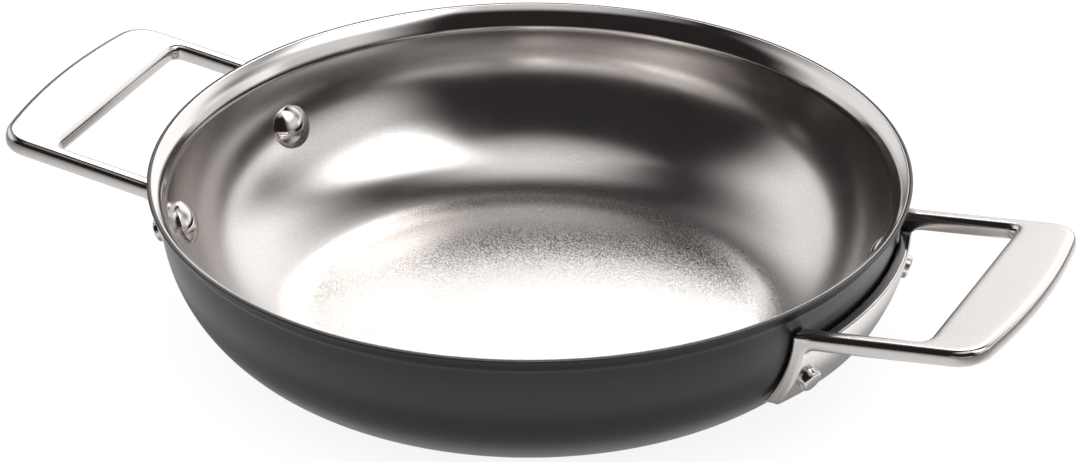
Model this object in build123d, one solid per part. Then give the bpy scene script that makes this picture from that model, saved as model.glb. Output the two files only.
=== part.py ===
from build123d import *

import math
import os

# Everything is in millimetres, +Z up. The origin is the middle of the flat base, on the surface
# that the pan stands on, and the two handles lie along +X (right) and -X (left).

# The pan: a round bowl whose wall is one arc, from the edge of the flat base up to a short neck,
# and then a flared lip. The bend at the crease between them takes up at most a share of the neck
rim_diameter = 220.0
base_diameter = 128.0
pan_height = 51.0
neck_height = 2.5
lip_height = 5.0
lip_flare = 3.0
lip_edge_radius = 0.8
crease_radius = 0.8
crease_share_of_neck = 0.9

# The sheet is three bonded layers: steel inside, aluminium between, an anodised skin outside.
# The steel turns over the edge of the other two, along the last part of the lip
liner_thickness = 0.6
core_thickness = 1.3
shell_thickness = 0.5
rim_cap_length = 0.9

# The handles: a flat loop with a wide grip, cast in one with a flange that follows the wall.
# The loop rises outwards, and its lengths are measured along its own top face. The drop is from
# the rim's top down to that face, below the rim's edge
handle_reach = 47.8
handle_width = 82.6
handle_thickness = 5.0
handle_drop = 8.0
handle_rise_angle = 6.8
grip_width = 20.9
grip_bow_radius = 200.0
grip_corner_radius = 9.5
arm_width = 5.4
window_corner_radius = 2.8
handle_edge_radius = 1.5

# The flange's inner face stays a little off the wall, and touches it at a pad round each rivet.
# Its height is from the handle's top face, at the wall, down to the flange's lower edge, and its
# top, between the arms, lies a little below the loop's underside
flange_height = 24.5
flange_top_drop = 6.0
flange_thickness = 3.5
flange_gap = 0.7
flange_edge_radius = 0.6
flange_root_radius = 2.0
pad_diameter = 11.0

# The rivets stand square to the wall: a domed head inside, a plain short tail outside.
# The inset is from the flange's end to the rivet, across the pan, and the drop is from the
# handle's top face, at the wall, down to the rivet
rivet_inset = 7.1
rivet_drop = 15.4
rivet_shank_diameter = 6.0
rivet_hole_clearance = 0.05
rivet_head_diameter = 13.0
rivet_head_skirt = 1.0
rivet_head_dome = 2.6
rivet_tail_diameter = 7.0
rivet_tail_length = 2.4
rivet_tail_edge = 0.8

# Sizes that follow from the ones above
rim_radius = rim_diameter / 2
body_radius = rim_radius - lip_flare
base_radius = base_diameter / 2
wall_thickness = liner_thickness + core_thickness + shell_thickness
curve_width = body_radius - base_radius
curve_height = pan_height - lip_height - neck_height
wall_radius = (curve_width**2 + curve_height**2) / (2 * curve_height)
wall_lean = math.asin((curve_height - wall_radius) / wall_radius)
neck_angle = wall_lean + math.pi / 2
handle_rise = math.radians(handle_rise_angle)
handle_top_at_rim = pan_height - handle_drop
handle_top_at_wall = handle_top_at_rim - lip_flare * math.tan(handle_rise)
flange_bottom = handle_top_at_wall - flange_height
flange_outer_offset = flange_gap + flange_thickness

# The bowl's section is drawn in a plane of radius (X) and height (Y)
wall_centre = Vector(base_radius, wall_radius)
lip_tip = Vector(rim_radius - lip_edge_radius, pan_height - lip_edge_radius)


def polar(angle, length):
    """A vector of this length in the section's plane, at this angle in radians."""
    return Vector(length * math.cos(angle), length * math.sin(angle))


def angle_of(vector):
    """The direction of a vector in the section's plane, in radians."""
    return math.atan2(vector.Y, vector.X)


def lip_touch(start, side):
    """Where a straight lip from start touches the round edge, outside (-1) or inside (1)."""
    to_tip = lip_tip - start
    tilt = math.asin(lip_edge_radius / to_tip.length)
    return lip_tip + polar(angle_of(to_tip) + side * (tilt + math.pi / 2), lip_edge_radius)


outer_crease = wall_centre + polar(wall_lean, wall_radius) + polar(neck_angle, neck_height)
outer_touch = lip_touch(outer_crease, -1)
lip_bend = neck_angle - angle_of(outer_touch - outer_crease)


def neck_foot(depth):
    """The top of the wall's arc, this deep under the outer face."""
    return wall_centre + polar(wall_lean, wall_radius - depth)


def crease(depth):
    """The corner between neck and lip, this deep under the outer face."""
    return neck_foot(depth) + polar(neck_angle, neck_height - depth * math.tan(lip_bend / 2))


inner_crease = crease(wall_thickness)
inner_touch = lip_touch(inner_crease, 1)

# The core and the skin stop at a straight cut across the lip, and the steel closes over it
cap_outer = outer_touch + (outer_crease - outer_touch).normalized() * rim_cap_length
cap_inner = inner_touch + (inner_crease - inner_touch).normalized() * rim_cap_length


def cap_point(depth):
    """The point of the cut across the lip that lies this deep under the outer face."""
    return cap_outer + (cap_inner - cap_outer) * (depth / wall_thickness)


def bend_radius(depth):
    """The radius at the crease, this deep under the outer face, as far as the neck has room."""
    room = crease_share_of_neck * (crease(depth) - neck_foot(depth)).length
    return min(crease_radius + depth, room / math.tan(lip_bend / 2))


def face_line(depth, lip_end):
    """The line of one layer's face, from the axis out along base, wall and neck to the lip's end."""
    arc_foot = Vector(base_radius, depth)
    arc_middle = wall_centre + polar(wall_lean / 2 - math.pi / 4, wall_radius - depth)
    return [
        Line((0, depth), arc_foot),
        ThreePointArc(arc_foot, arc_middle, neck_foot(depth)),
        FilletPolyline(neck_foot(depth), crease(depth), lip_end, radius=bend_radius(depth)),
    ]


def turned(lines):
    """The solid that a closed section makes, turned once round the pan's axis."""
    return revolve(Plane.XZ * make_face(lines), Axis.Z, 360)


def bonded_layer(outer_depth, thickness):
    """A layer that ends at the cut across the lip."""
    inner_depth = outer_depth + thickness
    outer_end = cap_point(outer_depth)
    inner_end = cap_point(inner_depth)
    return turned(
        face_line(outer_depth, outer_end)
        + face_line(inner_depth, inner_end)
        + [Line((0, outer_depth), (0, inner_depth)), Line(outer_end, inner_end)]
    )


def lip_edge_line():
    """The round top edge of the lip, from its inner face over to its outer one."""
    outwards = lip_tip - (outer_crease + inner_crease) / 2
    middle = lip_tip + outwards.normalized() * lip_edge_radius
    return ThreePointArc(inner_touch, middle, outer_touch)


def steel_layer():
    """The steel inside of the bowl, closed over the other layers' edge."""
    depth = wall_thickness - liner_thickness
    cap_end = cap_point(depth)
    return turned(
        face_line(wall_thickness, inner_touch)
        + [lip_edge_line(), Line(outer_touch, cap_outer), Line(cap_outer, cap_end)]
        + face_line(depth, cap_end)
        + [Line((0, depth), (0, wall_thickness))]
    )


def filled_bowl(offset):
    """Everything inside the bowl's outer wall, with the wall moved outwards by offset."""
    foot = Vector(base_radius, -offset)
    middle = wall_centre + polar(wall_lean / 2 - math.pi / 4, wall_radius + offset)
    neck = wall_centre + polar(wall_lean, wall_radius + offset)
    above = Vector(neck.X, 2 * pan_height)
    return turned(
        [
            Line((0, -offset), foot),
            ThreePointArc(foot, middle, neck),
            Line(neck, above),
            Line(above, (0, 2 * pan_height)),
            Line((0, 2 * pan_height), (0, -offset)),
        ]
    )


# The handle is drawn on its own top face: X along the loop, from below the rim's edge, Y across
handle_plane = Plane(
    origin=(rim_radius, 0, handle_top_at_rim),
    x_dir=(math.cos(handle_rise), 0, math.sin(handle_rise)),
    z_dir=(-math.sin(handle_rise), 0, math.cos(handle_rise)),
)
handle_half_width = handle_width / 2
inside_the_bowl = -rim_radius / 2


def handle_outline():
    """The loop's outer outline, run well into the bowl at its inner end."""
    bow = grip_bow_radius - math.sqrt(grip_bow_radius**2 - handle_half_width**2)
    outer_corner = handle_reach - bow
    back_inner = (inside_the_bowl, handle_half_width)
    front_inner = (inside_the_bowl, -handle_half_width)
    back_outer = (outer_corner, handle_half_width)
    front_outer = (outer_corner, -handle_half_width)
    outline = make_face(
        [
            Line(back_outer, back_inner),
            Line(back_inner, front_inner),
            Line(front_inner, front_outer),
            ThreePointArc(front_outer, (handle_reach, 0), back_outer),
        ]
    )
    return fillet(outline.vertices().group_by(Axis.X)[-1], grip_corner_radius)


def window_outline():
    """The finger window, also run into the bowl: the flange closes it there."""
    outer_end = handle_reach - grip_width
    length = outer_end - inside_the_bowl
    window = Pos(outer_end - length / 2, 0) * Rectangle(length, handle_width - 2 * arm_width)
    return fillet(window.vertices().group_by(Axis.X)[-1], window_corner_radius)


def faces_along_the_top(solid):
    """The faces that are parallel to the handle's top face, lowest first."""
    upwards = Axis(handle_plane.origin, handle_plane.z_dir)
    return solid.faces().filter_by(handle_plane).sort_by(upwards)


def block_below(drop):
    """The loop's outline as a deep block that starts this far below the top face."""
    return extrude(handle_plane.offset(-drop) * handle_outline(), -2 * flange_height)


def flange_band():
    """The part of the handle that follows the wall. It runs up into the loop's thickness."""
    below = Box(
        2 * rim_diameter, rim_diameter, pan_height, align=(Align.CENTER, Align.CENTER, Align.MAX)
    )
    band = filled_bowl(flange_outer_offset) & block_below(handle_thickness / 2)
    return band - Pos(0, 0, flange_bottom) * below


def window_cut():
    """What is cut out between the arms: right through, but over the flange only down to its top."""
    left_standing = filled_bowl(flange_outer_offset) & block_below(flange_top_drop)
    flange_top = faces_along_the_top(left_standing)[-1]
    left_standing = fillet(flange_top.edges().sort_by(Axis.X)[-1], flange_edge_radius)
    return extrude(handle_plane * window_outline(), -2 * flange_height) - left_standing


def round_top_edges(handle):
    """Round the top's outer edge and the window's, but not the two arms' ends at the wall."""
    top = faces_along_the_top(handle)[-1]
    return fillet(top.edges().sort_by(Axis.X)[2:], handle_edge_radius)


def round_lower_edges(handle):
    """Round the edges under the loop's outside, down the flange's ends and along its foot."""
    under_loop = faces_along_the_top(handle)[1].edges()
    foot = handle.faces().sort_by(Axis.Z)[0].edges().sort_by(Axis.X)[-1]
    arm_middle = handle_half_width - arm_width / 2
    outside = [edge for edge in under_loop if abs(edge.center().Y) > arm_middle + arm_width / 4]
    return fillet(outside + [foot], flange_edge_radius)


def handle_blank():
    """The right handle before its pads and rivet holes."""
    plate = extrude(handle_plane * handle_outline(), -handle_thickness)
    handle = plate + flange_band() - filled_bowl(flange_gap)
    root = faces_along_the_top(handle)[0].edges().sort_by(Axis.X)[0]
    handle = fillet(root, flange_root_radius) - window_cut()
    return round_lower_edges(round_top_edges(handle))


# A rivet's axis crosses the outer wall here, in the section's plane, and falls inwards this much
rivet_height = handle_top_at_wall - rivet_drop
rivet_fall = math.asin((wall_radius - rivet_height) / wall_radius)
rivet_crossing = wall_centre + polar(-rivet_fall, wall_radius)
rivet_turn = math.degrees(math.asin((handle_half_width - rivet_inset) / rivet_crossing.X))


def rivet_place(turn):
    """A rivet's place on the outer wall, turned this far round it, with Z straight outwards."""
    on_the_wall = Pos(rivet_crossing.X, 0, rivet_crossing.Y)
    return Rot(0, 0, turn) * on_the_wall * Rot(0, 90 + math.degrees(rivet_fall), 0)


def bar(diameter, low, high):
    """A round bar along Z, between two heights."""
    at_low_end = (Align.CENTER, Align.CENTER, Align.MIN)
    return Pos(0, 0, low) * Cylinder(diameter / 2, high - low, align=at_low_end)


def rivet_hole(turn):
    """The hole for one rivet, through the wall and the flange."""
    diameter = rivet_shank_diameter + 2 * rivet_hole_clearance
    return rivet_place(turn) * bar(diameter, -2 * wall_thickness, 2 * flange_outer_offset)


def rivet(turn):
    """A rivet, with its head shaped to the wall inside and its tail to the flange outside."""
    head_radius = rivet_head_diameter / 2
    skirt_end = -wall_thickness - rivet_head_skirt
    dome_end = skirt_end - rivet_head_dome
    dome_radius = (head_radius**2 + rivet_head_dome**2) / (2 * rivet_head_dome)
    dome = Pos(0, 0, dome_end + dome_radius) * Sphere(dome_radius)
    dome &= bar(rivet_head_diameter, dome_end, skirt_end)
    head = dome + bar(rivet_head_diameter, skirt_end, 0)
    tail_end = flange_outer_offset + rivet_tail_length
    tail = bar(rivet_tail_diameter, flange_gap, tail_end)
    tail = fillet(tail.edges().sort_by(Axis.Z)[-1], rivet_tail_edge)
    shank = bar(rivet_shank_diameter, skirt_end, tail_end - rivet_tail_edge)
    place = rivet_place(turn)
    seated_head = (place * head) & filled_bowl(-wall_thickness)
    seated_tail = (place * tail) - filled_bowl(flange_outer_offset)
    return seated_head + place * shank + seated_tail


def right_handle():
    """The finished right handle: the left one is the same casting, turned half a turn."""
    handle = handle_blank()
    for turn in (-rivet_turn, rivet_turn):
        pad = rivet_place(turn) * bar(pad_diameter, -wall_thickness, flange_outer_offset / 2)
        handle += pad - filled_bowl(0)
        handle -= rivet_hole(turn)
    return handle


rivet_turns = {
    "rivet_right_front": -rivet_turn,
    "rivet_right_back": rivet_turn,
    "rivet_left_front": 180 + rivet_turn,
    "rivet_left_back": 180 - rivet_turn,
}
holes = [rivet_hole(turn) for turn in rivet_turns.values()]
handle_right = right_handle()

parts = {
    "steel_liner": steel_layer() - holes,
    "aluminium_core": bonded_layer(shell_thickness, core_thickness) - holes,
    "anodised_shell": bonded_layer(0, shell_thickness) - holes,
    "handle_right": handle_right,
    "handle_left": Rot(0, 0, 180) * handle_right,
}
parts |= {name: rivet(turn) for name, turn in rivet_turns.items()}

os.makedirs("parts", exist_ok=True)
for name, solid in parts.items():
    export_step(solid, f"parts/{name}.step")
    print(name, round(solid.volume, 1), "mm3")
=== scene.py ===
# %% [markdown]
# # A two-handled pan: steel inside, dark anodised outside
#
# The CAD model already holds the pan's construction: three bonded layers of sheet, two cast handles
# and four rivets, each in its real place. This lesson gives them their looks. The bowl's two visible
# layers and the rivets are turned again as fine smooth meshes, the castings get their soft edges, and
# every surface gets a procedural finish. The frame gives every place, and the faces of the bowl stay
# within about half a millimetre of the CAD's.

# %% Load the frame
import math

import bmesh
import bpy
from mathutils import Matrix, Vector


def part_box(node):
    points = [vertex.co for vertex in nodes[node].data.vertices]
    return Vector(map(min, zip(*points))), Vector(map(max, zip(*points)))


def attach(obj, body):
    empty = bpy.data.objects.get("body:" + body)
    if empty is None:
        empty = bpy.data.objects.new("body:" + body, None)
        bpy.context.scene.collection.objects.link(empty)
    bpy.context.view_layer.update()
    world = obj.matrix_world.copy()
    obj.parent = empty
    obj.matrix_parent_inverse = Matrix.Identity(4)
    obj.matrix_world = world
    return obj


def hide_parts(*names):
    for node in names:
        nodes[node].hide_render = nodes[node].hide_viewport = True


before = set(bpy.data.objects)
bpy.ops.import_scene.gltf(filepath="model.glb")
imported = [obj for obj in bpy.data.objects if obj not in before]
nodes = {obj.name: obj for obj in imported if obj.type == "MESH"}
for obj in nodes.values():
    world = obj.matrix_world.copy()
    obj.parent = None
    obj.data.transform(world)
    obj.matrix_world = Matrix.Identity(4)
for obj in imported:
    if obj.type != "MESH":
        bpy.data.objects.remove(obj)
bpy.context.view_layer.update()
MM = 0.001

# %% [markdown]
# ## The camera
#
# The photograph was taken with a long lens from the front right, a little above the rim. A long lens
# keeps the near and the far handle almost the same size. The camera looks at a point just under the
# rim's plane and is turned a trace about its own axis, as a hand-set tripod head is. Its place could
# be found by eye; here it was worked out from the rim's ellipse and the handles' corners. The
# Standard view shows colours as they are written.

# %% Make the camera
camera_place = Vector((0.5343, -1.1261, 0.7121))
camera_target = Vector((0.0098, -0.0140, 0.0400))
camera_roll = math.radians(-0.12)
focal_length = 162.9
sensor_width = 36
nearest_seen = 10 * MM

camera = bpy.data.objects.new("camera", bpy.data.cameras.new("camera"))
bpy.context.scene.collection.objects.link(camera)
aim = (camera_target - camera_place).to_track_quat("-Z", "Y").to_matrix()
rolled = aim @ Matrix.Rotation(camera_roll, 3, "Z")
camera.matrix_world = Matrix.Translation(camera_place) @ rolled.to_4x4()
camera.data.lens = focal_length
camera.data.sensor_width = sensor_width
camera.data.clip_start = nearest_seen
bpy.context.scene.camera = camera
bpy.context.scene.view_settings.view_transform = "Standard"
print("camera:", round((camera_target - camera_place).length, 3), "m from the pan")

# %% [markdown]
# ## Nodes as arithmetic
#
# A shader or a Geometry Nodes tree is a sum of small steps. Written node by node it is hard to read,
# so one small class wraps an output socket and overloads the operators: `1 - mask` or
# `ring * 0.5 + 0.2` add their Math nodes by themselves. Every other node comes from `node`, which
# takes the node's type, its settings, and the values or links of its sockets, in that order.


# %% A socket that takes part in expressions
class Wire:
    """An output socket of a node tree, on which Python's operators add Math nodes."""

    def __init__(self, tree, socket=None):
        self.tree = tree
        self.socket = socket

    def node(self, kind, settings, inputs, output=0):
        """Adds a node: its settings first, then its sockets' values or links."""
        added = self.tree.nodes.new(kind)
        for name, value in settings.items():
            setattr(added, name, value)
        for name, value in inputs.items():
            if isinstance(value, Wire):
                self.tree.links.new(value.socket, added.inputs[name])
            else:
                added.inputs[name].default_value = value
        return Wire(self.tree, added.outputs[output])

    def combine(self, operation, *values):
        """A Math node on these values, in this order."""
        return self.node("ShaderNodeMath", {"operation": operation}, dict(enumerate(values)))

    def math(self, operation, *others):
        """A Math node whose first value is this one."""
        return self.combine(operation, self, *others)

    def length(self):
        """The length of a vector."""
        return self.node("ShaderNodeVectorMath", {"operation": "LENGTH"}, {0: self}, 1)

    def parts(self):
        """The x, y and z of a vector."""
        split = self.node("ShaderNodeSeparateXYZ", {}, {0: self}).socket.node
        return [Wire(self.tree, socket) for socket in split.outputs]

    def __add__(self, other):
        return self.combine("ADD", self, other)

    def __radd__(self, other):
        return self.combine("ADD", other, self)

    def __sub__(self, other):
        return self.combine("SUBTRACT", self, other)

    def __rsub__(self, other):
        return self.combine("SUBTRACT", other, self)

    def __mul__(self, other):
        return self.combine("MULTIPLY", self, other)

    def __rmul__(self, other):
        return self.combine("MULTIPLY", other, self)

    def __truediv__(self, other):
        return self.combine("DIVIDE", self, other)

    def __rtruediv__(self, other):
        return self.combine("DIVIDE", other, self)

    def ramp(self, low, high, low_value=0.0, high_value=1.0):
        """A smooth step from low_value, at low, to high_value, at high."""
        settings = {"interpolation_type": "SMOOTHSTEP"}
        inputs = {"Value": self, "From Min": low, "From Max": high}
        inputs.update({"To Min": low_value, "To Max": high_value})
        return self.node("ShaderNodeMapRange", settings, inputs)

    def mix_colours(self, colour_a, colour_b):
        """The first colour where this is 0 and the second where it is 1."""
        inputs = {"Factor": self, 6: colour_a, 7: colour_b}
        return self.node("ShaderNodeMix", {"data_type": "RGBA"}, inputs, 2)


# %% [markdown]
# ## The section of the bowl
#
# A pan like this is pressed and spun from a round blank, so one section, turned about the axis, says
# everything. The wall is a single arc that leaves the flat base without an edge and stands almost
# upright at the top. Above it come a short straight neck, a bend, and the lip that flares out to a
# round edge. The layers are offsets of that line, so one function draws them all at their depths.
# The sizes are those of the CAD model, in metres.
#
# The lip is drawn a little differently in three places. The bend between neck and lip is rounder.
# The bright inner face bends on outwards near its edge, in a long gentle curve instead of a straight
# cone and by about half a millimetre at most, because its reflections in the photograph turn brighter
# and broader there. And the dark skin comes up to the crest of the edge, as its own cells explain.

# %% The sizes of the section
liner_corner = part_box("steel_liner")[1]
rim_radius = liner_corner.x
pan_height = liner_corner.z
base_radius = 64 * MM
lip_flare = 3.0 * MM
lip_height = 5.0 * MM
neck_height = 2.5 * MM
lip_edge_radius = 0.8 * MM
crease_radius = 2.8 * MM
rim_cap_length = 0.9 * MM
pour_strip = 2.7 * MM
pour_bend = math.radians(16)
pour_bend_radius = 8.0 * MM
wall_thickness = 2.4 * MM
liner_thickness = 0.6 * MM
shell_thickness = 0.5 * MM

curve_width = rim_radius - lip_flare - base_radius
curve_height = pan_height - lip_height - neck_height
wall_radius = (curve_width**2 + curve_height**2) / (2 * curve_height)
wall_lean = math.asin((curve_height - wall_radius) / wall_radius)
neck_angle = wall_lean + math.pi / 2
wall_centre = Vector((base_radius, wall_radius))
lip_tip = Vector((rim_radius - lip_edge_radius, pan_height - lip_edge_radius))
print("section: wall radius", round(wall_radius / MM, 1), "mm, rim", round(rim_radius / MM, 1), "mm")


# %% Points of the section
def polar(angle, length):
    """A step of this length in the section's plane."""
    return Vector((length * math.cos(angle), length * math.sin(angle)))


def angle_of(vector):
    return math.atan2(vector.y, vector.x)


def lip_touch(start, side):
    """Where a straight lip from start touches the round edge, outside (-1) or inside (1)."""
    to_tip = lip_tip - start
    tilt = math.asin(lip_edge_radius / to_tip.length)
    return lip_tip + polar(angle_of(to_tip) + side * (tilt + math.pi / 2), lip_edge_radius)


def neck_foot(depth):
    """Where the wall's arc ends and the neck begins, this deep under the outer face."""
    return wall_centre + polar(wall_lean, wall_radius - depth)


outer_crease = neck_foot(0) + polar(neck_angle, neck_height)
outer_touch = lip_touch(outer_crease, -1)
lip_bend = neck_angle - angle_of(outer_touch - outer_crease)
print("lip: bends out by", round(math.degrees(lip_bend), 1), "degrees")


# %% Points of the lip's inner face
def crease(depth):
    """The corner between neck and lip, this deep under the outer face."""
    return neck_foot(depth) + polar(neck_angle, neck_height - depth * math.tan(lip_bend / 2))


inner_crease = crease(wall_thickness)
inner_touch = lip_touch(inner_crease, 1)
cap_outer = outer_touch + (outer_crease - outer_touch).normalized() * rim_cap_length
cap_inner = inner_touch + (inner_crease - inner_touch).normalized() * rim_cap_length
pour_angle = angle_of(inner_touch - inner_crease) - pour_bend
pour_end = lip_tip + polar(pour_angle + math.pi / 2, lip_edge_radius)
pour_start = pour_end - polar(pour_angle, pour_strip)
print("lip: its bright face ends at a slope of", round(math.degrees(pour_angle), 1), "degrees")


# %% [markdown]
# A smooth reflection needs many points where the line bends and few where it is straight. So each
# stretch gets its own number of steps, and a helper walks along arcs and lines.

# %% Walk along arcs and lines
base_steps = 24
wall_steps = 56
bend_steps = 10
lip_steps = 5
edge_steps = 10
bright_bend_steps = 14
bright_middle_steps = 2
bright_strip_steps = 3


def arc_points(centre, radius, start, end, count):
    """Points along an arc, both ends included."""
    return [centre + polar(start + (end - start) * i / count, radius) for i in range(count + 1)]


def line_points(start, end, count):
    """Points along a straight stretch, without its end."""
    return [start.lerp(end, i / count) for i in range(count)]


def bend_points(before, corner, after, radius, count):
    """The round bend that replaces a corner of the line, walked the short way round."""
    back = (before - corner).normalized()
    ahead = (after - corner).normalized()
    half = back.angle(ahead) / 2
    centre = corner + (back + ahead).normalized() * radius / math.sin(half)
    start = angle_of(corner + back * radius / math.tan(half) - centre)
    turn = angle_of(corner + ahead * radius / math.tan(half) - centre) - start
    turn = (turn + math.pi) % (2 * math.pi) - math.pi
    return arc_points(centre, radius, start, start + turn, count)


# %% Walk along a layer
def bowl_points(depth):
    """One layer's face, from the axis out along the base and up the wall."""
    foot = Vector((base_radius, depth))
    base = line_points(Vector((0, depth)), foot, base_steps)
    wall = arc_points(wall_centre, wall_radius - depth, -math.pi / 2, wall_lean, wall_steps)
    return base + wall


def face_points(depth, lip_end):
    """The same and on along the neck to the end of the lip, which is straight here."""
    bend_radius = crease_radius + depth
    bend = bend_points(neck_foot(depth), crease(depth), lip_end, bend_radius, bend_steps)
    lip = line_points(bend[-1], lip_end, lip_steps)[1:]
    return bowl_points(depth) + bend + lip + [lip_end]


def bright_face_points():
    """The face that shows: near its end the lip bends on outwards, to a shallow strip."""
    depth = wall_thickness
    corner = crease(depth)
    bend_radius = crease_radius + depth
    bend = bend_points(neck_foot(depth), corner, pour_start, bend_radius, bright_bend_steps)
    pour = bend_points(corner, pour_start, pour_end, pour_bend_radius, bright_bend_steps)
    middle = line_points(bend[-1], pour[0], bright_middle_steps)[1:]
    strip = line_points(pour[-1], pour_end, bright_strip_steps)[1:]
    return bowl_points(depth) + bend + middle + pour + strip + [pour_end]


def cap_point(depth):
    """The point of the straight cut across the lip that lies this deep under the outer face."""
    return cap_outer.lerp(cap_inner, depth / wall_thickness)


print("bright face:", len(bright_face_points()), "points")

# %% [markdown]
# ## Turning it: a Geometry Nodes lathe
#
# The section is drawn once as a curve and a Geometry Nodes tree turns it, as a lathe would. The
# Spin tool could do it too, but the tree keeps the number of segments and the material as inputs,
# and the same tree turns the lining, the outer skin and the rivets. It lays a grid with one column
# for each angle and one row for each point of the section, moves every grid point to its place by
# arithmetic, and merges the seam and the pole.

# %% Start and end a tree
weld_distance = 0.001 * MM


def new_tree(name, sockets):
    """A Geometry Nodes tree with a Geometry input and output and these named inputs."""
    tree = bpy.data.node_groups.new(name, "GeometryNodeTree")
    tree.interface.new_socket("Geometry", in_out="INPUT", socket_type="NodeSocketGeometry")
    for label, kind, value in sockets:
        socket = tree.interface.new_socket(label, in_out="INPUT", socket_type=kind)
        if value is not None:
            socket.default_value = value
    tree.interface.new_socket("Geometry", in_out="OUTPUT", socket_type="NodeSocketGeometry")
    given = tree.nodes.new("NodeGroupInput")
    wires = {socket.name: Wire(tree, socket) for socket in given.outputs if socket.name}
    return tree, wires


def close_tree(tree, geometry, material):
    """Ends a tree in Realize Instances and Set Material."""
    real = geometry.node("GeometryNodeRealizeInstances", {}, {"Geometry": geometry})
    made = real.node("GeometryNodeSetMaterial", {}, {"Geometry": real, "Material": material})
    result = tree.nodes.new("NodeGroupOutput")
    tree.links.new(made.socket, result.inputs["Geometry"])
    print(tree.name + " tree:", len(tree.nodes), "nodes")


# %% Build the lathe
def build_lathe():
    sockets = [("Segments", "NodeSocketInt", 64), ("Material", "NodeSocketMaterial", None)]
    tree, given = new_tree("lathe", sockets)
    start = Wire(tree)
    section = given["Geometry"]
    count = start.node("GeometryNodeAttributeDomainSize", {"component": "CURVE"}, {0: section})
    grid_size = {"Vertices X": given["Segments"] + 1, "Vertices Y": count}
    grid = start.node("GeometryNodeMeshGrid", {}, grid_size)
    index = start.node("GeometryNodeInputIndex", {}, {})
    row = index.math("MODULO", count)
    column = (index / count).math("FLOOR")
    turn = column * (2 * math.pi) / given["Segments"]
    place = start.node("GeometryNodeInputPosition", {}, {})
    sampled = {"Geometry": section, "Value": place, "Index": row}
    settings = {"data_type": "FLOAT_VECTOR", "domain": "POINT"}
    radius, _, height = start.node("GeometryNodeSampleIndex", settings, sampled).parts()
    x = radius * turn.math("COSINE")
    y = radius * turn.math("SINE")
    turned = start.node("ShaderNodeCombineXYZ", {}, {"X": x, "Y": y, "Z": height})
    moved = start.node("GeometryNodeSetPosition", {}, {"Geometry": grid, "Position": turned})
    merge = {"Geometry": moved, "Distance": weld_distance}
    merged = start.node("GeometryNodeMergeByDistance", {}, merge)
    close_tree(tree, merged, given["Material"])
    return tree


lathe = build_lathe()

# %% [markdown]
# A modifier's inputs are set by their identifiers, before the object is first evaluated. The result
# is then taken as a plain mesh, and the modifier is gone.


# %% Run a tree on some geometry
def run_tree(name, data, tree, values):
    """Evaluates tree on data and returns the result as an object with a plain mesh."""
    source = bpy.data.objects.new(name + "_source", data)
    bpy.context.scene.collection.objects.link(source)
    modifier = source.modifiers.new("tree", "NODES")
    modifier.node_group = tree
    for socket in tree.interface.items_tree:
        if socket.in_out == "INPUT" and socket.name in values:
            modifier[socket.identifier] = values[socket.name]
    evaluated = source.evaluated_get(bpy.context.evaluated_depsgraph_get())
    mesh = bpy.data.meshes.new_from_object(evaluated)
    bpy.data.objects.remove(source)
    mesh.name = name
    piece = bpy.data.objects.new(name, mesh)
    bpy.context.scene.collection.objects.link(piece)
    return piece


def section_curve(name, points):
    """A curve through the points of a section, drawn in the XZ plane."""
    curve = bpy.data.curves.new(name, "CURVE")
    curve.dimensions = "3D"
    spline = curve.splines.new("POLY")
    spline.points.add(len(points) - 1)
    for point, place in zip(spline.points, points):
        point.co = (place.x, 0, place.y, 1)
    return curve


def face_outwards(piece):
    """Recalculates the normals of a closed mesh and shades it smooth."""
    work = bmesh.new()
    work.from_mesh(piece.data)
    bmesh.ops.recalc_face_normals(work, faces=work.faces)
    for face in work.faces:
        face.smooth = True
    open_edges = sum(1 for edge in work.edges if not edge.is_manifold)
    volume = round(work.calc_volume() / MM**3)
    work.to_mesh(piece.data)
    work.free()
    faces = len(piece.data.polygons)
    print(piece.name + ":", faces, "faces,", open_edges, "open edges,", volume, "mm3")


def turn_on_the_lathe(name, points, segments, material):
    """A closed piece, turned from a section."""
    values = {"Segments": segments, "Material": material}
    piece = run_tree(name, section_curve(name, points), lathe, values)
    face_outwards(piece)
    return piece


# %% [markdown]
# ## What every finish needs
#
# Sheet, casting and skin all get their grain from noise on the object's own coordinates, so that it
# stays on the metal when the pan turns. No real finish is the same all over: its roughness drifts a
# little in broad clouds, and `clouded` gives that. A fine noise in a Bump node bends the light where
# the real grain is too small to be worth a mesh.


# %% Helpers for the finishes
def new_material(name):
    """An empty material, its Principled shader, and a wire to start expressions from."""
    material = bpy.data.materials.new(name)
    material.use_nodes = True
    shader = material.node_tree.nodes["Principled BSDF"]
    return material, shader, Wire(material.node_tree)


def plug(shader, name, wire):
    """Links a wire to one of the shader's sockets."""
    wire.tree.links.new(wire.socket, shader.inputs[name])


def object_place(start):
    return start.node("ShaderNodeTexCoord", {}, {}, "Object")


def noise(place, size, detail=2.0):
    """Noise of about this feature size, around 0.5."""
    inputs = {"Vector": place, "Scale": 1 / size, "Detail": detail, "Roughness": 0.5}
    return place.node("ShaderNodeTexNoise", {"noise_dimensions": "3D"}, inputs)


def clouded(place, middle, drift, size, detail=3.0):
    """A roughness around its middle that drifts in clouds of about this size."""
    return middle + (noise(place, size, detail) - 0.5) * drift


def bump(height, distance):
    inputs = {"Height": height, "Distance": distance, "Strength": 1.0}
    return height.node("ShaderNodeBump", {}, inputs)


# %% [markdown]
# ## Steel
#
# All the bright parts are stainless steel, and they differ only in how they were finished. The lip,
# the rivets and the handles' rounded edges are polished. The wall of the bowl is satin, with faint
# rings that the spinning left: noise in fine streaks, which hardly changes round the axis. The base
# is blasted, which leaves a grain of a third of a millimetre. Each of its grains is a little rougher
# or smoother than its neighbours and catches more light or less, so the same fine noise works on
# roughness and colour. The blasting fades out where the wall begins.

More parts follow.
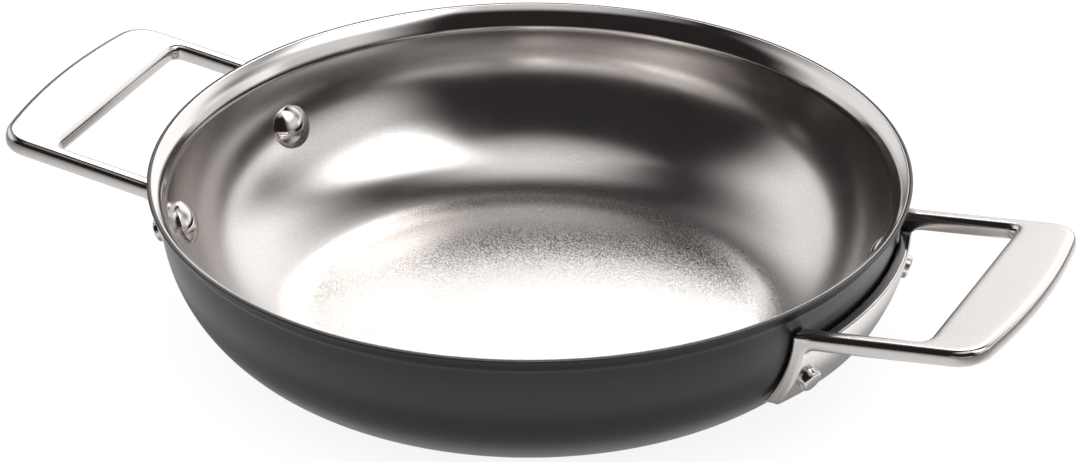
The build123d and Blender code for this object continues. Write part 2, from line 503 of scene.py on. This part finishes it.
# %% Steel and its grain
steel_tint = (0.672, 0.641, 0.622, 1)
grain_size = 0.33 * MM
grain_contrast = 0.48
polished_roughness = 0.07


def tinted(brightness):
    """The steel's tint, this many times as bright."""
    return [brightness * level for level in steel_tint[:3]] + [1]


def grained_steel(place, amount):
    """Steel whose blasted grains catch more light or less: amount 1 is the full contrast."""
    speckle = 0.5 + (noise(place, grain_size, 0.0) - 0.5) * amount
    return speckle.mix_colours(tinted(1 - grain_contrast), tinted(1 + grain_contrast))


def streaks(place, width, length):
    """Noise in fine streaks that run round the axis, around 0.5."""
    x, y, z = place.parts()
    radius = (x * x + y * y).math("SQRT")
    round_trip = rim_radius * width / length
    along = {"X": x / radius * round_trip, "Y": y / radius * round_trip, "Z": z}
    inputs = {"Vector": place.node("ShaderNodeCombineXYZ", {}, along), "W": radius}
    inputs.update({"Scale": 1 / width, "Detail": 2.0, "Roughness": 0.5})
    return place.node("ShaderNodeTexNoise", {"noise_dimensions": "4D"}, inputs)


print("steel: grains of", round(grain_size / MM, 2), "mm")


# %% Satin wall, blasted base, polished lip
satin_roughness = 0.18
satin_drift = 0.06
satin_cloud = 12 * MM
streak_width = 0.4 * MM
streak_length = 6 * MM
streak_depth = 0.4
grain_depth_on_wall = 0.3
lining_bump = 0.008 * MM
lining_speckle = 0.3
lip_roughness = 0.11
blasting_fades_from = 2.6 * MM
blasting_ends_at = 6 * MM
smooth_grain = 0.155
rough_grain = 0.30
smooth_below = 0.44
rough_above = 0.58


def lining_finish():
    material, shader, start = new_material("liner_steel")
    place = object_place(start)
    z = place.parts()[2]
    polish = z.ramp(neck_foot(0).y, inner_crease.y)
    blasted = z.ramp(blasting_fades_from, blasting_ends_at, 1.0, 0.0)
    grain = noise(place, grain_size)
    spun = streaks(place, streak_width, streak_length)
    even = clouded(place, satin_roughness, satin_drift, satin_cloud)
    grained = grain.ramp(smooth_below, rough_above, smooth_grain, rough_grain)
    satin = even * (1 - blasted) + grained * blasted
    grain_depth = grain_depth_on_wall + blasted * (1 - grain_depth_on_wall)
    height = (grain * grain_depth + spun * streak_depth) * (1 - polish)
    plug(shader, "Roughness", satin * (1 - polish) + polish * lip_roughness)
    plug(shader, "Normal", bump(height, lining_bump))
    plug(shader, "Base Color", grained_steel(place, lining_speckle * (1 - polish)))
    shader.inputs["Metallic"].default_value = 1
    print("lining finish:", len(material.node_tree.nodes), "nodes")
    return material


# %% [markdown]
# ## The dark outside
#
# Hard anodising turns aluminium dark grey and matt-satin, right through a thin hard layer. It is no
# longer metal to the eye: a grey body colour under a soft sheen. A very fine, even grain breaks the
# sheen up.

# %% Hard anodised aluminium
anodised_colour = (0.012, 0.012, 0.012, 1)
anodised_roughness = 0.30
anodised_drift = 0.08
anodised_cloud = 15 * MM
anodised_grain = 0.25 * MM
anodised_bump = 0.003 * MM


def skin_finish():
    material, shader, start = new_material("anodised_skin")
    place = object_place(start)
    roughness = clouded(place, anodised_roughness, anodised_drift, anodised_cloud)
    plug(shader, "Roughness", roughness)
    plug(shader, "Normal", bump(noise(place, anodised_grain), anodised_bump))
    shader.inputs["Base Color"].default_value = anodised_colour
    print("skin finish:", len(material.node_tree.nodes), "nodes")
    return material


# %% [markdown]
# ## The bowl's lining and its outer skin
#
# The lining runs from the axis along the inside to the crest of the lip's round edge. There it meets
# the dark skin, which comes up round the outside, so that from the front only a thin bright line
# shows. In the CAD model the lining turns over the whole edge, and the skin ends just below it. Here
# the skin is drawn up to the crest, in a tighter rounding that stands 0.4 mm further out, because the
# photograph shows a crisp dark rim under that line. Each layer's hidden side goes back to the axis,
# so the lathe makes a closed shell, as thick as that layer of the sheet.

# %% Turn the lining
bowl_segments = 320
edge_inner = angle_of(pour_end - lip_tip)
edge_seam = math.radians(84)


def lining_section():
    hidden = wall_thickness - liner_thickness
    crest = arc_points(lip_tip, lip_edge_radius, edge_inner, edge_seam, edge_steps)[1:]
    back = face_points(hidden, cap_point(hidden))
    return bright_face_points() + crest + [lip_tip] + back[::-1]


lining = turn_on_the_lathe("bowl_lining", lining_section(), bowl_segments, lining_finish())
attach(lining, "root")
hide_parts("steel_liner")

# %% Turn the outer skin
skin_edge_radius = 0.35 * MM


def skin_corner(crest):
    """Where the straight outside of the lip meets the crest's own direction, drawn on."""
    upwards = (outer_touch - outer_crease).normalized()
    over = polar(edge_seam - math.pi / 2, 1)
    gap = crest - outer_touch
    run = (gap.x * over.y - gap.y * over.x) / (upwards.x * over.y - upwards.y * over.x)
    return outer_touch + upwards * run


def skin_section():
    crest = lip_tip + polar(edge_seam, lip_edge_radius)
    corner = skin_corner(crest)
    round_edge = bend_points(outer_touch, corner, crest, skin_edge_radius, edge_steps)
    outside = face_points(0, round_edge[0])
    inside = face_points(shell_thickness, cap_point(shell_thickness))
    return outside + round_edge[1:] + [crest, lip_tip] + inside[::-1]


skin = turn_on_the_lathe("outer_skin", skin_section(), bowl_segments, skin_finish())
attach(skin, "root")
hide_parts("anodised_shell")

# %% [markdown]
# ## The rivets
#
# Four rivets hold the handles. Each has a domed head inside the bowl and a short plain tail outside,
# and all four stand square to the curved wall. One rivet is turned on the lathe, lying along Z, and
# a second tree sets a copy at each place. The places follow from the wall's own arc: each rivet
# crosses it at the same height, as far to the side of the handles' middle line.

# %% One rivet
rivet_height = 27.24 * MM
rivet_side = 34.2 * MM
rivet_fall = math.asin((wall_radius - rivet_height) / wall_radius)
rivet_crossing = wall_centre + polar(-rivet_fall, wall_radius)
rivet_turn = math.asin(rivet_side / rivet_crossing.x)
head_radius = 6.5 * MM
head_skirt = 1.0 * MM
head_dome = 2.6 * MM
tail_radius = 3.5 * MM
tail_edge = 0.8 * MM
tail_length = 2.4 * MM
flange_outer = 4.2 * MM
rivet_segments = 64
dome_steps = 24
tail_edge_steps = 8


def rivet_section():
    """Half of a rivet's section: X out from its axis, Y along it, with the head's end lowest."""
    dome_end = -wall_thickness - head_skirt - head_dome
    dome_radius = (head_radius**2 + head_dome**2) / (2 * head_dome)
    dome_centre = Vector((0, dome_end + dome_radius))
    dome_angle = math.asin(head_radius / dome_radius)
    dome_bottom = -math.pi / 2
    dome = arc_points(dome_centre, dome_radius, dome_bottom, dome_bottom + dome_angle, dome_steps)
    middle = -wall_thickness / 2
    skirt = [Vector((head_radius, middle)), Vector((tail_radius, middle))]
    tail_end = flange_outer + tail_length
    edge_centre = Vector((tail_radius - tail_edge, tail_end - tail_edge))
    edge = arc_points(edge_centre, tail_edge, 0, math.pi / 2, tail_edge_steps)
    return dome + skirt + edge + [Vector((0, tail_end))]


print("rivets:", round(math.degrees(rivet_turn), 1), "degrees to each side of the handles' line")


# %% Polished steel
polish_drift = 0.06
polish_smear = 1.5 * MM
polish_grain = 0.2 * MM
polish_bump = 0.0008 * MM


def polished_finish(name):
    material, shader, start = new_material(name)
    place = object_place(start)
    shader.inputs["Base Color"].default_value = steel_tint
    shader.inputs["Metallic"].default_value = 1
    plug(shader, "Roughness", clouded(place, polished_roughness, polish_drift, polish_smear))
    plug(shader, "Normal", bump(noise(place, polish_grain), polish_bump))
    return material


rivet_steel = polished_finish("rivet_steel")
one_rivet = turn_on_the_lathe("one_rivet", rivet_section(), rivet_segments, rivet_steel)


# %% Set the four rivets
def build_rivet_setter():
    sockets = [
        ("Out", "NodeSocketFloat", 0.1),
        ("Up", "NodeSocketFloat", 0.02),
        ("Fall", "NodeSocketFloat", 0.0),
        ("Turn", "NodeSocketFloat", 0.3),
        ("Material", "NodeSocketMaterial", None),
    ]
    tree, given = new_tree("rivet_setter", sockets)
    start = Wire(tree)
    points = start.node("GeometryNodePoints", {}, {"Count": 4})
    index = start.node("GeometryNodeInputIndex", {}, {})
    side = (index / 2).math("FLOOR")
    hand = index.math("MODULO", 2) * 2 - 1
    turn = hand * given["Turn"] + side * math.pi
    x = given["Out"] * turn.math("COSINE")
    y = given["Out"] * turn.math("SINE")
    place = start.node("ShaderNodeCombineXYZ", {}, {"X": x, "Y": y, "Z": given["Up"]})
    lean = given["Fall"] + math.pi / 2
    angles = start.node("ShaderNodeCombineXYZ", {}, {"Y": lean, "Z": turn})
    rotation = start.node("FunctionNodeEulerToRotation", {}, {0: angles})
    moved = start.node("GeometryNodeSetPosition", {}, {"Geometry": points, "Position": place})
    inputs = {"Points": moved, "Instance": given["Geometry"], "Rotation": rotation}
    rivets = start.node("GeometryNodeInstanceOnPoints", {}, inputs)
    close_tree(tree, rivets, given["Material"])
    return tree


places = {"Out": rivet_crossing.x, "Up": rivet_crossing.y, "Fall": rivet_fall, "Turn": rivet_turn}
rivets = run_tree("rivets", one_rivet.data, build_rivet_setter(), places | {"Material": rivet_steel})
bpy.data.objects.remove(one_rivet)
face_outwards(rivets)
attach(rivets, "root")
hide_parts("rivet_right_front", "rivet_right_back", "rivet_left_front", "rivet_left_back")

# %% [markdown]
# ## The cast handles
#
# A casting has no sharp corner: the wax, the ceramic shell and the tumbling afterwards round every
# edge a little. The CAD handle has its true rounded top edges, but its others are sharp. Beveling
# each by hand would be long work, so the whole shape is remeshed in fine cells and relaxed, which
# softens every edge by a few tenths of a millimetre. It is remeshed lying flat, so that its flat
# faces fall along the cells and stay flat.

# %% Soften a casting
cell_size = 0.38 * MM
handle_rise = math.radians(6.8)
relax_factor = 0.5
relax_rounds = 3


def merged_copy(name, node):
    """A copy of a CAD node's mesh with its loose triangles joined."""
    work = bmesh.new()
    work.from_mesh(nodes[node].data)
    bmesh.ops.remove_doubles(work, verts=work.verts, dist=weld_distance)
    mesh = bpy.data.meshes.new(name)
    work.to_mesh(mesh)
    work.free()
    piece = bpy.data.objects.new(name, mesh)
    bpy.context.scene.collection.objects.link(piece)
    return piece


def apply_modifiers(piece):
    evaluated = piece.evaluated_get(bpy.context.evaluated_depsgraph_get())
    mesh = bpy.data.meshes.new_from_object(evaluated)
    piece.modifiers.clear()
    piece.data = mesh


def soft_casting(name, node, side):
    """The handle on side 1 (+X) or -1, with its edges softened."""
    piece = merged_copy(name, node)
    level = Matrix.Rotation(side * handle_rise, 4, "Y")
    piece.data.transform(level)
    remesh = piece.modifiers.new("remesh", "REMESH")
    remesh.mode = "VOXEL"
    remesh.voxel_size = cell_size
    relax = piece.modifiers.new("relax", "SMOOTH")
    relax.factor = relax_factor
    relax.iterations = relax_rounds
    apply_modifiers(piece)
    piece.data.transform(level.inverted())
    print(name + ":", len(piece.data.polygons), "faces")
    return piece


# %% [markdown]
# The loop that the fingers hold is rounded more than the flange, which stays crisp where it lies
# against the wall. A casting is also blasted to a fine satin and its round edges are then polished
# bright, because they are what a wheel reaches first, so the shader has to know where the surface
# bends. A small Geometry Nodes tree does both. It blurs the positions of the loop's points, which
# wears its edges down as tumbling does. Then it measures the angle between neighbouring faces,
# spreads it out a little, and stores it on the mesh as an attribute, which the material reads.

# %% Round the loop and mark the edges
loop_start = 111 * MM
loop_fade = 3 * MM
rounding_rounds = 14
spread_rounds = 3


def build_edge_finisher():
    sockets = [
        ("Loop Start", "NodeSocketFloat", 0.1),
        ("Fade", "NodeSocketFloat", 0.003),
        ("Rounding", "NodeSocketInt", 12),
        ("Spread", "NodeSocketInt", 3),
        ("Material", "NodeSocketMaterial", None),
    ]
    tree, given = new_tree("edge_finisher", sockets)
    start = Wire(tree)
    place = start.node("GeometryNodeInputPosition", {}, {})
    x, y, _ = place.parts()
    reach = (x * x + y * y).math("SQRT")
    loop = reach.ramp(given["Loop Start"], given["Loop Start"] + given["Fade"])
    blur = {"Value": place, "Iterations": given["Rounding"], "Weight": loop}
    blurred = start.node("GeometryNodeBlurAttribute", {"data_type": "FLOAT_VECTOR"}, blur)
    rounding = {"Geometry": given["Geometry"], "Position": blurred}
    rounded = start.node("GeometryNodeSetPosition", {}, rounding)
    angle = start.node("GeometryNodeInputMeshEdgeAngle", {}, {})
    spread = {"Value": angle, "Iterations": given["Spread"]}
    bend = start.node("GeometryNodeBlurAttribute", {"data_type": "FLOAT"}, spread)
    stored = {"Geometry": rounded, "Name": "bend", "Value": bend}
    settings = {"data_type": "FLOAT", "domain": "POINT"}
    marked = start.node("GeometryNodeStoreNamedAttribute", settings, stored)
    close_tree(tree, marked, given["Material"])
    return tree


# %% Satin faces and polished edges
casting_roughness = 0.24
casting_drift = 0.05
casting_cloud = 8 * MM
casting_grain = 0.3 * MM
casting_bump = 0.003 * MM
casting_speckle = 0.4
flat_bend = 0.03
edge_bend = 0.08


def casting_finish():
    material, shader, start = new_material("cast_steel")
    place = object_place(start)
    bend = start.node("ShaderNodeAttribute", {"attribute_name": "bend"}, {}, 2)
    edge = bend.ramp(flat_bend, edge_bend)
    satin = clouded(place, casting_roughness, casting_drift, casting_cloud)
    grain = noise(place, casting_grain)
    plug(shader, "Roughness", satin * (1 - edge) + edge * polished_roughness)
    plug(shader, "Normal", bump(grain * (1 - edge), casting_bump))
    plug(shader, "Base Color", grained_steel(place, (1 - edge) * casting_speckle))
    shader.inputs["Metallic"].default_value = 1
    return material


# %% Finish both handles
edge_finisher = build_edge_finisher()
cast_steel = casting_finish()
values = {"Loop Start": loop_start, "Fade": loop_fade, "Material": cast_steel}
values.update({"Rounding": rounding_rounds, "Spread": spread_rounds})
for side, node in ((1, "handle_right"), (-1, "handle_left")):
    soft = soft_casting("soft_" + node, node, side)
    handle = run_tree("cast_" + node, soft.data, edge_finisher, values)
    bpy.data.objects.remove(soft)
    face_outwards(handle)
    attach(handle, "root")
    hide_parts(node)

# %% [markdown]
# ## The hidden core
#
# The aluminium core can't be seen in the finished pan. It keeps its CAD shape and gets the plain
# finish of rolled sheet, so that it looks right if someone opens the model up.

# %% Rolled aluminium
aluminium_tint = (0.75, 0.76, 0.77, 1)
rolled_roughness = 0.35
rolled_drift = 0.1
rolled_cloud = 4 * MM


def core_finish():
    material, shader, start = new_material("core_aluminium")
    place = object_place(start)
    shader.inputs["Base Color"].default_value = aluminium_tint
    shader.inputs["Metallic"].default_value = 1
    roughness = clouded(place, rolled_roughness, rolled_drift, rolled_cloud, detail=2.0)
    plug(shader, "Roughness", roughness)
    return material


core = nodes["aluminium_core"]
core.data.materials.clear()
core.data.materials.append(core_finish())
print("core:", len(core.data.polygons), "faces, as in the CAD model")

# %% [markdown]
# ## The floor
#
# The pan stands on a pale table that runs on behind it into a white background. A diffuse surface
# takes the pan's soft shadow, and a glow mixed into it, for the rays that show the background to the
# camera and to polished metal, lifts it to the white of the photograph.
#
# What the metal mirrors isn't an endless white: a painted pool of light on the table, seen only in
# reflections, falls off away from the pan. Painted shade dims it close to the foot and under the lip,
# and a painted patch of light brightens it beside the right handle, for the flange to mirror.

# %% The table's painted glow, as the metal mirrors it
mirrored_level = 0.95
far_level = 0.08
fade = (140 * MM, 320 * MM)
# Painted shade: the table's glow is dimmer at the foot and under the lip.
foot_level = 0.8
foot_shade = (90 * MM, 140 * MM)
lip_shade_inner = (88 * MM, 100 * MM)
lip_shade_outer = (125 * MM, 112 * MM)
lip_shade = 0.62
# A painted patch of light on the table beside the right handle: where it lies and how much it adds.
painted_light_x = (110 * MM, 140 * MM)
painted_light_y = (-60 * MM, -20 * MM)
painted_light_gain = 0.7


# The table's glow for reflected rays: a painted pool of light round the pan, with painted shade and a
# painted bright patch.
def painted_glow_of_table(start):
    place = object_place(start)
    reach = place.length()
    x, y, _ = place.parts()
    under_lip = reach.ramp(*lip_shade_inner) * reach.ramp(*lip_shade_outer)
    # Painted light: the table's glow is raised in a patch beside the right handle.
    painted_light_patch = x.ramp(*painted_light_x) * y.ramp(*painted_light_y)
    foot = reach.ramp(*foot_shade, foot_level, 1.0)
    near = foot * (1 - under_lip * lip_shade) * (1 + painted_light_patch * painted_light_gain)
    return reach.ramp(*fade, mirrored_level, far_level) * near


# %% A pale floor
floor_colour = (0.9, 0.9, 0.9, 1)
white_level = 1.17
glow_share = 0.75
half_floor = 2.0


def ray_is(start, *kinds):
    """1 where the ray is of one of these kinds, such as Camera or Glossy."""
    path = start.node("ShaderNodeLightPath", {}, {}).socket.node.outputs
    total = Wire(start.tree, path["Is " + kinds[0] + " Ray"])
    for kind in kinds[1:]:
        total = total + Wire(start.tree, path["Is " + kind + " Ray"])
    return total.math("MINIMUM", 1)


def floor_material():
    material = bpy.data.materials.new("pale_floor")
    material.use_nodes = True
    tree = material.node_tree
    tree.nodes.remove(tree.nodes["Principled BSDF"])
    start = Wire(tree)
    plain = start.node("ShaderNodeBsdfDiffuse", {}, {"Color": floor_colour})
    seen_straight = ray_is(start, "Camera")
    # Camera rays see an even white; the other rays see the table's painted glow of light and shade.
    level = seen_straight * white_level + (1 - seen_straight) * painted_glow_of_table(start)
    glow = start.node("ShaderNodeEmission", {}, {"Color": (1, 1, 1, 1), "Strength": level})
    lifted = start.node("ShaderNodeMixShader", {}, {0: glow_share, 1: plain, 2: glow})
    seen = ray_is(start, "Camera", "Glossy", "Transmission")
    mixed = start.node("ShaderNodeMixShader", {}, {0: seen, 1: plain, 2: lifted})
    tree.links.new(mixed.socket, tree.nodes["Material Output"].inputs["Surface"])
    print("floor finish:", len(tree.nodes), "nodes")
    return material


floor_mesh = bpy.data.meshes.new("floor")
corners = [(x * half_floor, y * half_floor, 0) for x, y in ((-1, -1), (1, -1), (1, 1), (-1, 1))]
floor_mesh.from_pydata(corners, [], [(0, 1, 2, 3)])
floor_mesh.materials.append(floor_material())
floor = bpy.data.objects.new("floor", floor_mesh)
bpy.context.scene.collection.objects.link(floor)

# %% [markdown]
# ## The studio
#
# Bright steel has hardly a look of its own: it shows the room. In a studio that is a white sweep
# behind the object, a few soft boxes, and darkness round the camera, and the crisp black bands on
# polished edges are that darkness. Area lamps could stand in for the boxes; here the world's shader
# holds all of them as soft-edged patches in given directions, so that they cast no hard shadow and
# are easy to move. Only glossy rays see them. The camera sees plain white, and diffuse surfaces get
# plain even light, so that colours come out as they are written. The darkness itself has a faint
# warm tint, as it has in the photograph's black bands.


# %% A soft box
def soft_box(heading, azimuth, elevation, half_width, half_height, softness):
    """1 inside a patch of sky round this direction and 0 outside, all in degrees."""
    turn = {"Vector": heading, "Angle": math.radians(-azimuth)}
    x, y, z = heading.node("ShaderNodeVectorRotate", {"rotation_type": "Z_AXIS"}, turn).parts()
    across = y.math("ARCTAN2", x)
    height = z.math("ARCSINE") - math.radians(elevation)
    edge = math.radians(softness)
    width = math.radians(half_width)
    rise = math.radians(half_height)
    wide = across.math("ABSOLUTE").ramp(width + edge, width - edge)
    high = height.math("ABSOLUTE").ramp(rise + edge, rise - edge)
    return wide * high


# %% Hang the soft boxes
# Each has its azimuth, elevation, half width, half height and softness, in degrees, and its strength.
soft_boxes = {
    "sweep": (85, 19, 33, 29, 15, 1.46),
    "hot spot": (109, 42, 7, 8, 2, 4.25),
    "low spot": (115, 38, 10, 6, 2, 2.2),
    "left": (170, 23, 32, 23, 14, 1.07),
    "right": (9, 59, 26, 13, 14, 3.98),
    "low right": (8, 26, 28, 17, 16, 0.91),
    "far right": (42, 46, 7, 12, 6, 0.3),
    "back right": (36, 12, 16, 7, 6, 0.8),
    "ceiling": (0, 90, 180, 15, 10, 1.0),
    "over the camera": (274, 70, 65, 6, 5, 0.35),
    "front table": (288, 3, 35, 4, 3, 0.45),
}
dark_room = 0.016
dark_tint = (1.15, 0.97, 1.0, 1)
fully_lit = 0.3

world = bpy.data.worlds.new("studio")
bpy.context.scene.world = world
world.use_nodes = True
background = world.node_tree.nodes["Background"]
start = Wire(world.node_tree)
heading = start.node("ShaderNodeTexCoord", {}, {}, "Generated")
mirrored = dark_room
for azimuth, elevation, half_width, half_height, softness, strength in soft_boxes.values():
    patch = soft_box(heading, azimuth, elevation, half_width, half_height, softness)
    mirrored = mirrored + patch * strength
glossy = ray_is(start, "Glossy")
plug(background, "Strength", mirrored * glossy + (1 - glossy))
lit = mirrored.ramp(dark_room, fully_lit)
plug(background, "Color", (1 - (1 - lit) * glossy).mix_colours(dark_tint, (1, 1, 1, 1)))
print("studio:", len(soft_boxes), "soft boxes,", len(world.node_tree.nodes), "nodes")
